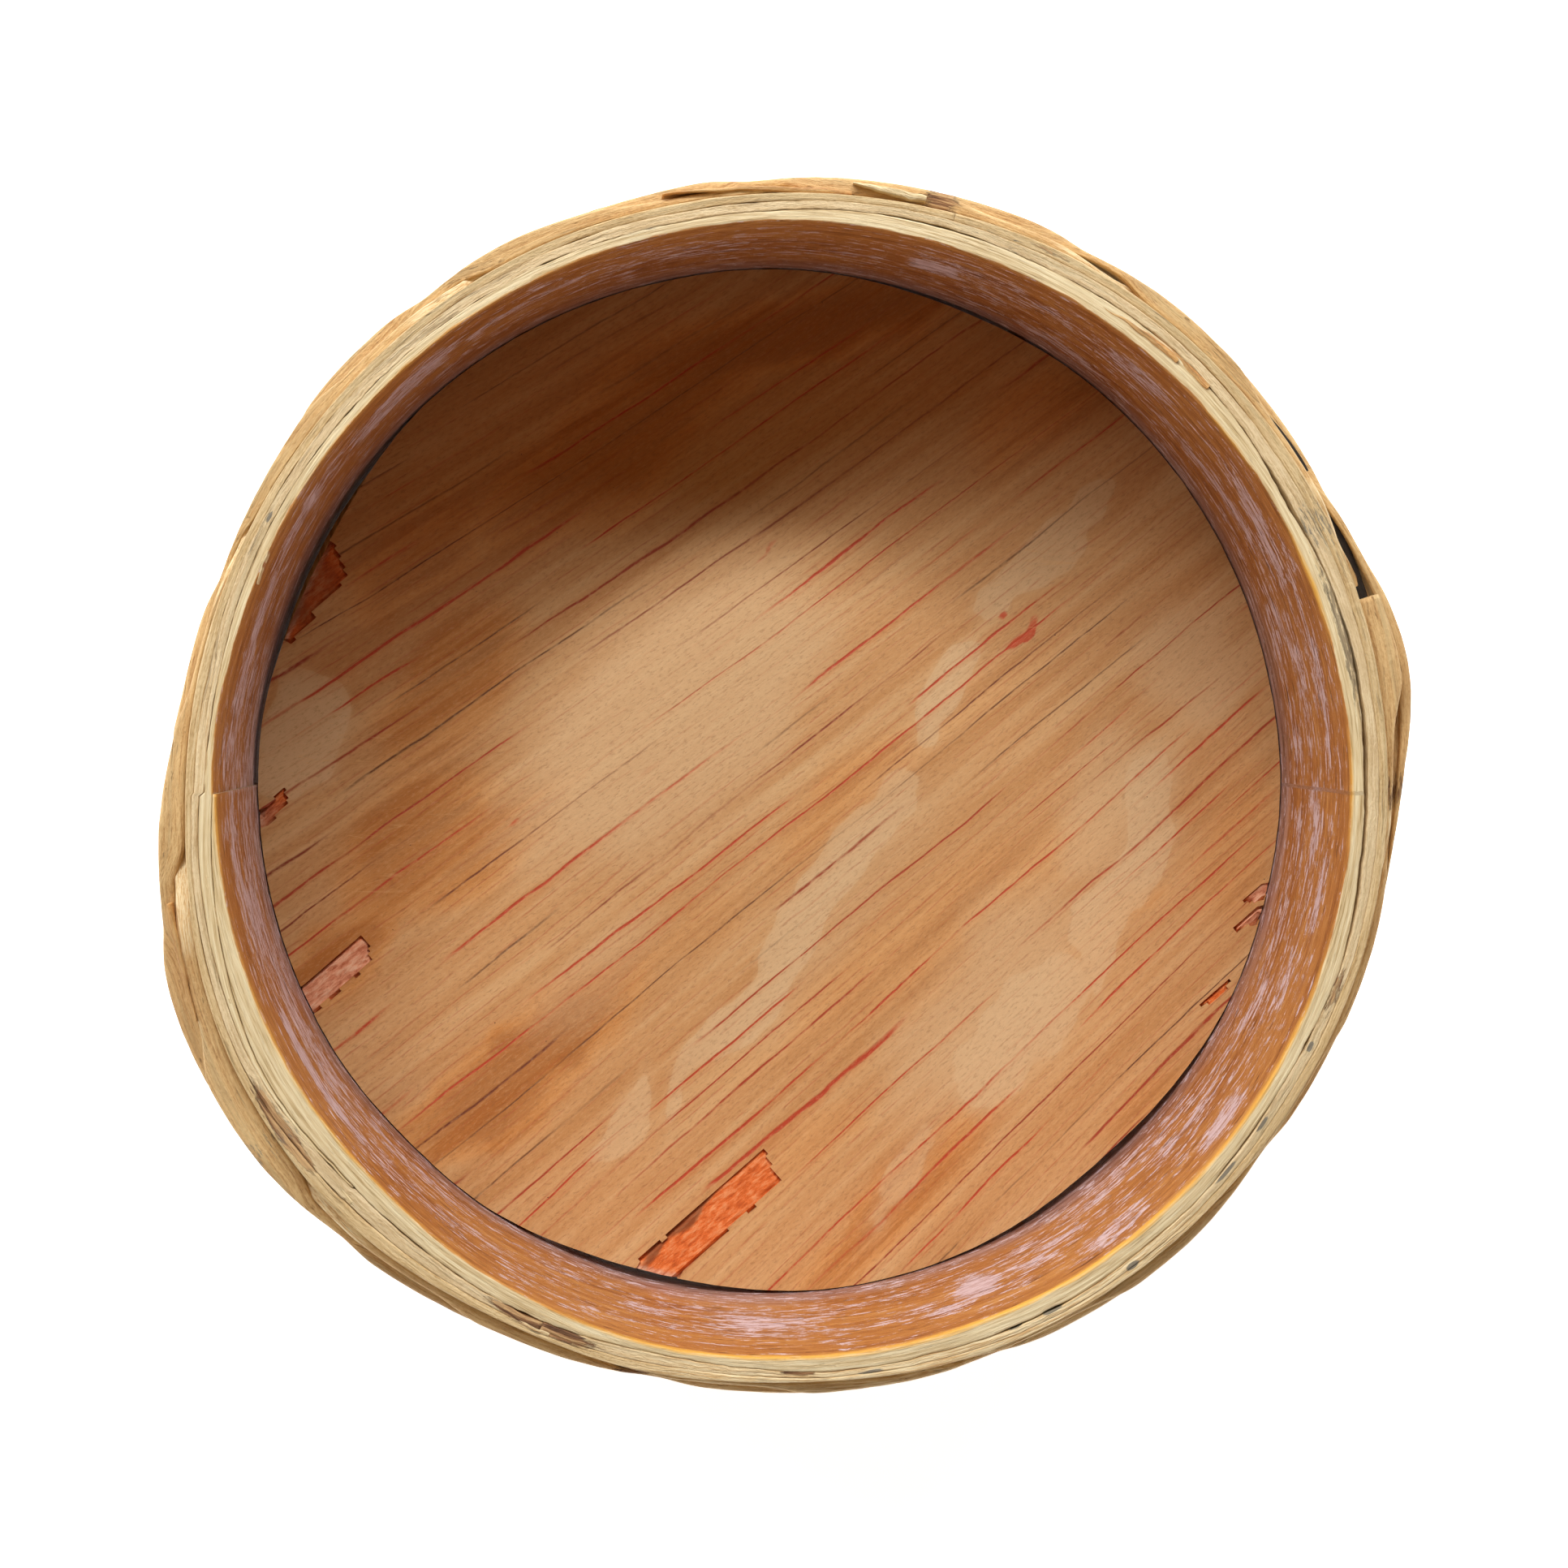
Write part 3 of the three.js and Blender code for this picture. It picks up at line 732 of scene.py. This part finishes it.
def wall_band_inside(angle):
    past = (angle - LAP_START) % 360
    crack = first_crack(angle) + crack_width(angle) / 2 + crack_wander(angle, 3)
    beside_tail = start_face(angle) + 0.1 + tail_width(angle)
    return max(crack, beside_tail) if past < LAP_LENGTH else crack


def second_crack(angle):
    inside = wall_band_inside(angle)
    return inside + 0.52 * (wall_face(angle) - inside) + 0.12 * wobble(angle / 7, seed=8)


second_width = around(0.0, (43, 8, 0.15), (193, 9, 0.1), (228, 14, 0.1))


def wall_band_outside(angle):
    return second_crack(angle) - second_width(angle) / 2


def strip_inside(angle):
    return second_crack(angle) + second_width(angle) / 2


def ring(start, inner, outer, low, high):
    """A closed layer's section: it starts and ends at one angle, with a hair's breadth between."""
    def section(t):
        angle = start + (360 - HAIRS_BREADTH) * t
        return Section(angle, inner(angle), outer(angle), low, high)
    return section


def make_wall():
    inner = bent_lath(
        "inner_band_worn", (1000, 14, 14), inner_band_section, marks=skin_marks, round_edge=0.3,
        body="basket", slot="bamboo_skin", replaced=["inner_band"],
    )
    wall = bent_lath(
        "wall_band_worn", (1000, 12, 8),
        ring(WALL_BAND_START, wall_band_inside, wall_band_outside, 0.0, RIM),
        marks=rim_marks, body="basket", slot="bamboo_lath", replaced=["wall_band"],
    )
    strip = bent_lath(
        "rim_strip_worn", (1000, 12, 6), ring(STRIP_START, strip_inside, wall_face, STRIP_LOW, RIM),
        marks=rim_marks, round_edge=0.2, body="basket", slot="bamboo_strip", replaced=["rim_strip"],
    )
    base_strip = bent_lath(
        "base_strip_worn", (800, 6, 6), ring(STRIP_START, strip_inside, wall_face, 0.0, STRIP_HIGH),
        marks=rim_marks, round_edge=0.2, body="basket", slot="bamboo_strip", replaced=["base_strip"],
    )
    return inner, wall, strip, base_strip


# ---- Splinters ----
# Each: first and last angle, radius, width, low and high edge, how far the far end stands out.
SPLINTERS = {
    "torn_fibre": [
        (44, 52, 72.55, 0.9, RIM - 3, RIM + 0.25, 0.5),
        (48, 57.5, 72.2, 0.8, RIM - 3, RIM + 0.4, -0.5),
        (190, 201, 77.6, 0.7, RIM - 6, RIM - 0.6, 0.8),
        (84, 102, 74.55, 0.7, RIM - 5, RIM - 0.6, 0.9),
    ],
    "pale_flap": [
        (188, 194.5, 72.3, 0.5, RIM - 3, RIM + 0.25, -0.5),
        (200, 204, 73.4, 0.5, RIM - 3, RIM + 0.25, -0.3),
        (223, 214, 74.0, 0.8, RIM - 3, RIM + 0.2, -0.2),
        (77, 84, 75.4, 1.0, RIM - 4, RIM - 0.3, 0.5),
        (246, 238, 73.6, 0.8, RIM - 3, RIM + 0.2, 0.3),
        (155, 158.5, 70.6, 0.4, RIM - 2, RIM + 0.3, -0.4),
    ],
    # Near-black filler splints in the gaps between hoop and wall: painted shade.
    "packing_splint": [
        (12, 52, 76.6, 2.6, SHADE_FILLER_LOW, SHADE_FILLER_HIGH, 0.0),
        (54, 72, 75.9, 1.4, SHADE_FILLER_LOW, SHADE_FILLER_HIGH, 0.0),
        (89, 101, 74.7, 1.0, SHADE_FILLER_LOW, SHADE_FILLER_HIGH, 0.0),
        (222, 186, 77.4, 2.2, SHADE_FILLER_LOW, SHADE_FILLER_HIGH, 0.0),
    ],
}


def splinter(name, first, last, radius, width, low, high, stands_out):
    """A thin sliver along the rim, pointed at its far end."""
    def section(t):
        angle = first + (last - first) * t
        taper = width * (1 - 0.9 * t * t) * ease(t, -0.3, 0.2)
        place = radius + stands_out * t * t + 0.15 * wobble(t * 6, seed=first)
        return Section(angle, place - taper / 2, place + taper / 2, low, high - 0.4 * t, 0.0, 0.4)
    return bent_lath(
        name, (90, 5, 5), section, relief=0.2, round_edge=0.2, body="basket", slot="bamboo_strip"
    )


def make_splinters():
    return {
        kind: [splinter(f"{kind}_{number}", *place) for number, place in enumerate(places, 1)]
        for kind, places in SPLINTERS.items()
    }


# ---- Twined hoops ----
def change_sides(x):
    return math.sin(math.pi / 2 * min(max(x * 1.28, -1), 1))


# How far a crossing strand spreads over its fellow; low where the hoop has sprung open.
open_crossing = around(0.9, (60, 9, -0.7))


def twined_hoop(name, start, level, node):
    """One splint wound twice round, its two passes changing sides at every half twist."""
    length = TWO_TURNS + HOOP_TAIL
    tail_leaves = TWO_TURNS - HALF_TWIST / 4

    def station(t):
        travelled = length * t
        angle = start - travelled
        inside = wall_face(angle) + STRAND_GAP / 2
        gap = hoop_gap(angle)
        thickness = (hoop_face(angle) - inside - gap - STRAND_GAP) / 2
        twist = math.radians(180 / HALF_TWIST * (travelled - tail_leaves))
        on_tail = travelled > tail_leaves
        side = 1.0 if on_tail else change_sides(math.cos(twist))
        lift = 0.0 if on_tail else change_sides(math.sin(twist))
        pare = 1 - 0.7 * ease(travelled, TWO_TURNS + 8, length)
        step = (thickness + STRAND_GAP) * ease(travelled, tail_leaves - 6, TWO_TURNS - 4)
        apart = thickness + STRAND_GAP + gap
        fill = ease(abs(lift), 0.3, 1.0) * open_crossing(angle)
        inner = inside + step + apart * ease(side, -1.0, 1.0) * (1 - fill)
        bulge = 0.75 * ease(-lift, 0.3, 1.0)
        outer = inside + step + apart * ease(side, -1.0, 0.1) + thickness * pare + bulge
        middle = level(angle) + lift * STRAND_RISE - LEAF_RISE * side * (1 - lift * lift)
        pith = ease(-side, 0.6, 1.0) * (1 - lift * lift)
        half = STRAND_WIDTH / 2 - (STRAND_WIDTH / 2 - STRAND_RISE) * ease(abs(lift), 0.4, 1.0)
        return Section(angle, inner, outer, middle - half, middle + half, 0.25 * max(lift, 0), pith)

    return bent_lath(
        name, (1600, 9, 6), station, relief=0.1, round_edge=0.45, marks=strand_marks,
        body="basket", slot="bamboo_splint", replaced=[node],
    )


def make_hoops():
    base_middle = (BASE_HOOP_LOW + BASE_HOOP_HIGH) / 2
    rim_level = around(HOOP_MIDDLE, (295, 70, -0.5))
    rim = twined_hoop("rim_hoop_splint", RIM_HOOP_START, rim_level, "rim_hoop")
    base = twined_hoop("base_hoop_splint", BASE_HOOP_START, around(base_middle), "base_hoop")
    return rim, base


# ---- The floor board ----
# Chips out of the face ply: (x, y, half length, half width, turn from the grain, faded, dark).
CHIPS = [
    (-9.0, -60.4, 11.8, 2.6, 4, 0, 0), (-60.0, -26.2, 6.2, 1.85, 4, 1, 0),
    (-62.2, 27.4, 4.6, 2.3, 6, 0.3, 0.5), (-65.4, 22.4, 3.4, 1.9, 8, 0.3, 0.7),
    (-69.2, -4.6, 4.2, 0.9, 12, 0.6, 0.4), (68.4, -14.4, 3.6, 0.9, 2, 1, 0),
    (66.2, -18.8, 2.4, 0.6, 4, 1, 0), (61.6, -29.4, 2.2, 0.6, 4, 0, 0.3),
]
# Damp stains and bleached patches: (x, y, half length, half width, turn from the grain, strength).
# The stains along the board's upper edge, where the rim's shadow falls, are painted shade as well as
# stain.
STAINS_AND_SHADE = [
    (-44, 13, 17, 9, 22, 1.0), (-50, -9, 18, 9, 10, 1.1), (-38, -8, 20, 5, 4, 1.0),
    (-34, -38, 28, 7, 2, 1.4), (10, -2, 20, 6, 2, 0.65), (20, -22, 38, 10, 2, 0.5),
    (16, -58, 24, 6, 4, 0.9), (44, -22, 18, 4, 4, 0.6), (63, -8, 17, 11, 50, 0.6),
    (54, -44, 16, 7, 12, 0.7), (-20, 47, 34, 9, 0, 1.1), (5, -50, 16, 5, 4, 0.5),
    (30, 12, 24, 4, 0, 0.4), (-14, -22, 22, 4, 2, 0.5), (-60, -24, 14, 6, 6, 1.2),
    (2, 62, 34, 8, -20, 1.3), (36, 50, 16, 7, 8, 0.8), (-48, 30, 14, 8, 0, 1.0),
]
BLEACHED = [
    (-64, 7, 9, 7, 50, 1.2), (2, -21, 34, 4.5, 18, 0.95), (-21, -46, 12, 4, 20, 0.6),
    (24, 12, 10, 3.5, 20, 0.7), (34, -34, 15, 7, 12, 0.8), (47, -14, 22, 5, 34, 0.75),
    (38, 32, 17, 3.2, 4, 0.8), (-50, -42, 6, 3, 6, 0.4),
    (18, -54, 15, 4, 14, 0.42),
]
# Pale washed areas with soft edges, the same way. The one at (58, 18) is painted light: it pales a
# shaded spot at the board's right edge.
WASHED_AND_LIT = [
    (-14, 9, 34, 17, 6, 1.0), (-24, -26, 16, 8, 8, 0.5), (30, -30, 26, 12, 16, 0.8),
    (46, -4, 16, 10, 30, 0.7),
    (58, 18, 12, 10, 10, 0.8), (-64, 6, 9, 8, 50, 0.9), (8, -18, 30, 7, 16, 0.5),
]
# Red blots and scratched areas, the same way.
RED_BLOTS = [
    (35, 21, 4.2, 1.0, 2, 1.2), (-36, -5, 2, 0.4, 2, 0.7), (-2, 31, 5, 0.5, 2, 0.6),
    (33, 24.5, 1.6, 0.6, 2, 0.9),
]
WORN = [(-58, -2, 16, 14, 60, 1.0), (40, 30, 18, 10, 0, 0.7), (-50, -30, 20, 12, 40, 0.6)]


def board_radius(angle):
    return inside_face(angle) - board_edge(angle) + 0.06 * wobble(angle / 1.7, seed=5)


def along_grain(x, y, place, turn):
    """A point's place along and across the grain, from a place and a turn of its own."""
    angle = math.radians(GRAIN_ANGLE + turn)
    dx = x - place[0]
    dy = y - place[1]
    return dx * math.cos(angle) + dy * math.sin(angle), dy * math.cos(angle) - dx * math.sin(angle)


def chip_distance(x, y):
    """How far inside a chip a point is, in millimetres: above 0 inside, below 0 outside."""
    best = -9.0
    for cx, cy, half_long, half_wide, turn, _, _ in CHIPS:
        along, across = along_grain(x, y, (cx, cy), turn)
        ragged = 0.16 * wobble(along / 2.4, across / 1.1, seed=cx)
        end = half_long - abs(along) + 0.5 * wobble(across / 0.8, seed=cy) + 0.7 * across / half_wide
        best = max(best, min(half_wide - abs(across) + ragged, end))
    return best


def grain_blot(x, y, marks):
    """The strongest of the marks (x, y, half length, half width, turn, strength) at a point."""
    best = 0.0
    x += 3.5 * wobble(x / 13, y / 13, seed=2) + 1.2 * wobble(x / 4, y / 4, seed=4)
    y += 3.5 * wobble(x / 13, y / 13, seed=3) + 1.2 * wobble(x / 4, y / 4, seed=6)
    for cx, cy, half_long, half_wide, turn, strength in marks:
        along, across = along_grain(x, y, (cx, cy), turn)
        away = math.hypot(along / half_long, across / half_wide)
        best = max(best, strength * (1 - ease(away, 0.3, 1.3)))
    return best


def face_marks(x, y):
    return {
        "stain": grain_blot(x, y, STAINS_AND_SHADE),
        "bleach": grain_blot(x, y, BLEACHED),
        "washed": grain_blot(x, y, WASHED_AND_LIT),
        "red": grain_blot(x, y, RED_BLOTS),
        "worn": grain_blot(x, y, WORN),
    }


def core_marks(x, y):
    around_chip = [(cx, cy, long + 2, wide + 2, turn) for cx, cy, long, wide, turn, _, _ in CHIPS]
    faded = [(*place, chip[5]) for place, chip in zip(around_chip, CHIPS)]
    dark = [(*place, chip[6]) for place, chip in zip(around_chip, CHIPS)]
    dark.append((-13.5, -60.5, 9, 1.3, 6, 1.0))
    edge = board_radius(math.degrees(math.atan2(y, x))) - math.hypot(x, y)
    return {
        "faded": max(grain_blot(x, y, faded), 1 - ease(edge, 0.2, 1.0)),
        "dark": grain_blot(x, y, dark),
    }


def make_ply(name, low, high, node, slot, cell, chipped=False, marks=unmarked, bed=0.0):
    """A ply cut from a fine sheet laid along the grain, trimmed to the board's outline.

    bed is how far its wood stands up into the chips of the ply above.
    """
    bm = bmesh.new()
    parts = int(2 * SHEET_REACH / cell)
    bmesh.ops.create_grid(bm, x_segments=parts, y_segments=parts, size=parts * cell / 2)
    turn = Matrix.Rotation(math.radians(GRAIN_ANGLE + SHEET_TURN), 3, "Z")
    bmesh.ops.rotate(bm, matrix=turn, verts=bm.verts)

    def beyond(point):
        return point.xy.length - board_radius(math.degrees(math.atan2(point.y, point.x)))

    outside = [f for f in bm.faces if beyond(f.calc_center_median()) > 0]
    bmesh.ops.delete(bm, geom=outside, context="FACES")
    if chipped:
        inside = [f for f in bm.faces if chip_distance(*f.calc_center_median().xy) > 0]
        bmesh.ops.delete(bm, geom=inside, context="FACES")
    rim_edges = [e for e in bm.edges if e.is_boundary]
    for vert in {v for e in rim_edges for v in e.verts}:
        past = beyond(vert.co)
        if abs(past) < cell * 1.5:
            vert.co.xy *= 1 - past / vert.co.xy.length
    layers = {key: bm.verts.layers.float.new(key) for key in marks(0, 0)}
    for vert in bm.verts:
        x, y = vert.co.xy
        for key, value in marks(x, y).items():
            vert[layers[key]] = value
        if bed:
            rough = 0.14 * wobble(x / 1.1, y / 0.9, seed=1)
            vert.co.z += (bed + rough) * ease(chip_distance(x, y), -0.3, 0.3)
    bmesh.ops.translate(bm, vec=(0, 0, high), verts=bm.verts)
    walls = bmesh.ops.extrude_edge_only(bm, edges=rim_edges)
    lower = [v for v in walls["geom"] if isinstance(v, bmesh.types.BMVert)]
    bmesh.ops.translate(bm, vec=(0, 0, low - high), verts=lower)
    in_metres = Matrix.Translation(AXIS.xy.to_3d()) @ Matrix.Scale(MM, 4)
    bmesh.ops.transform(bm, matrix=in_metres, verts=bm.verts)
    return new_piece(name, bm, "floor_board", slot, [node], smooth=False)


def make_board():
    face = make_ply(
        "floor_face_ply", FACE_LOW, BOARD_TOP, "floor_face_veneer", "face_veneer", FACE_CELL,
        chipped=True, marks=face_marks,
    )
    core = make_ply(
        "floor_core_ply", CORE_LOW, CORE_TOP, "floor_core_veneer", "core_veneer", CORE_CELL,
        marks=core_marks, bed=BOARD_TOP - CORE_TOP - CHIP_DEPTH,
    )
    back = make_ply(
        "floor_back_ply", BACK_LOW, BACK_TOP, "floor_back_veneer", "face_veneer", BACK_CELL
    )
    return face, core, back


# ---- Stage, lamps and camera ----
def make_stage():
    """A round white sweep: a flat floor that turns up all round, under a dim warm sky."""
    bm = bmesh.new()
    points = [bm.verts.new((reach, 0, height)) for reach, height in SWEEP]
    edges = [bm.edges.new(pair) for pair in zip(points, points[1:])]
    bmesh.ops.spin(
        bm, geom=points + edges, axis=(0, 0, 1), cent=(0, 0, 0), angle=math.tau, steps=64,
        use_merge=True,
    )
    bmesh.ops.remove_doubles(bm, verts=bm.verts, dist=1e-6)
    mesh = bpy.data.meshes.new("studio_sweep")
    bm.to_mesh(mesh)
    bm.free()
    sweep = bpy.data.objects.new("studio_sweep", mesh)
    bpy.context.scene.collection.objects.link(sweep)
    paper = Finish("studio_paper", 0.9)
    paper.shader.inputs["Emission Color"].default_value = (1, 1, 1, 1)
    paper.shader.inputs["Emission Strength"].default_value = SWEEP_GLOW
    mesh.materials.append(paper.finish((0.92, 0.92, 0.92)))
    world = bpy.data.worlds.new("studio")
    bpy.context.scene.world = world
    world.use_nodes = True
    world.node_tree.nodes["Background"].inputs["Color"].default_value = (*SKY_COLOUR, 1)
    world.node_tree.nodes["Background"].inputs["Strength"].default_value = SKY_STRENGTH


def area_light(name, place, target, size, power):
    lamp = bpy.data.lights.new(name, "AREA")
    lamp.shape = "RECTANGLE"
    lamp.size, lamp.size_y = size
    lamp.energy = power
    light = bpy.data.objects.new(name, lamp)
    light.location = place
    light.rotation_euler = (Vector(target) - Vector(place)).to_track_quat("-Z", "Y").to_euler()
    bpy.context.scene.collection.objects.link(light)


def make_lights():
    """A row of soft lamps along one side, all at one height, so the rim's shadow has a long edge."""
    for angle, power in KEY_ROW:
        turn = math.radians(angle)
        place = Vector((math.cos(turn) * KEY_REACH, math.sin(turn) * KEY_REACH, KEY_HEIGHT))
        area_light(f"key_{angle}", place, KEY_TARGET, KEY_SIZE, power)


# The camera stands almost over the basket, a little to the left and behind its middle.
AIM = AXIS.xy.to_3d() + Vector((-0.70, 1.15, RIM)) * MM
CAMERA_OFFSET = Vector((-19.6, 10.3, 350.0)) * MM


def make_camera():
    data = bpy.data.cameras.new("camera")
    data.lens = CAMERA_LENS
    camera = bpy.data.objects.new("camera", data)
    back = CAMERA_OFFSET.normalized()
    right = Vector((0, 1, 0)).cross(back).normalized()
    up = back.cross(right)
    turn = Matrix((right, up, back)).transposed()
    camera.matrix_world = Matrix.Translation(AIM + CAMERA_OFFSET) @ turn.to_4x4()
    bpy.context.scene.collection.objects.link(camera)
    bpy.context.scene.camera = camera


def dress(piece, material):
    piece.data.materials.clear()
    piece.data.materials.append(material)


make_camera()
make_stage()
make_lights()
bpy.context.scene.view_settings.view_transform = "Standard"
inner, wall, strip, base_strip = make_wall()
rim_hoop, base_hoop = make_hoops()
face_ply, core, back = make_board()
splinters = make_splinters()

dress(inner, scuffed_skin("stained_bamboo_skin"))
wall_tones = srgb(234, 212, 170), srgb(212, 184, 138), srgb(172, 140, 94)
dress(wall, split_bamboo("pale_split_bamboo", *wall_tones, 0.3, outer_tone=0.5))
strip_tones = srgb(226, 200, 152), srgb(202, 170, 118), srgb(160, 124, 76)
strip_finish = split_bamboo("straw_split_bamboo", *strip_tones, 0.7, outer_tone=0.4)
dress(strip, strip_finish)
dress(base_strip, strip_finish)
splint_tones = srgb(226, 192, 136), srgb(202, 160, 104), srgb(150, 106, 60)
splint_finish = split_bamboo("golden_splint", *splint_tones, 1.1)
dress(rim_hoop, splint_finish)
dress(base_hoop, splint_finish)
splinter_finishes = {
    "torn_fibre": split_bamboo(
        "torn_orange_fibre", srgb(226, 178, 110), srgb(196, 132, 66), srgb(132, 76, 34), 1.7
    ),
    "pale_flap": split_bamboo(
        "pale_bamboo_flap", srgb(240, 222, 178), srgb(216, 190, 142), srgb(160, 128, 82), 2.3
    ),
    # The filler splints are coloured near black: painted shade in the gaps.
    "packing_splint": split_bamboo(
        "painted_shade_splint", srgb(40, 28, 18), srgb(28, 19, 12), srgb(18, 12, 8), 2.9, greyed=0.0
    ),
}
for kind, pieces in splinters.items():
    for piece in pieces:
        dress(piece, splinter_finishes[kind])
dress(face_ply, pine_face("pine_face_veneer"))
dress(back, pine_face("pine_back_veneer", line_strength=0.45))
dress(core, core_ply("orange_core_ply"))
bar_finish = plain_lath("split_bamboo_bars")
for name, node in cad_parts.items():
    if name.startswith(("cross_bar", "bar_peg", "floor_seat")):
        node.material_slots[0].material = bar_finish
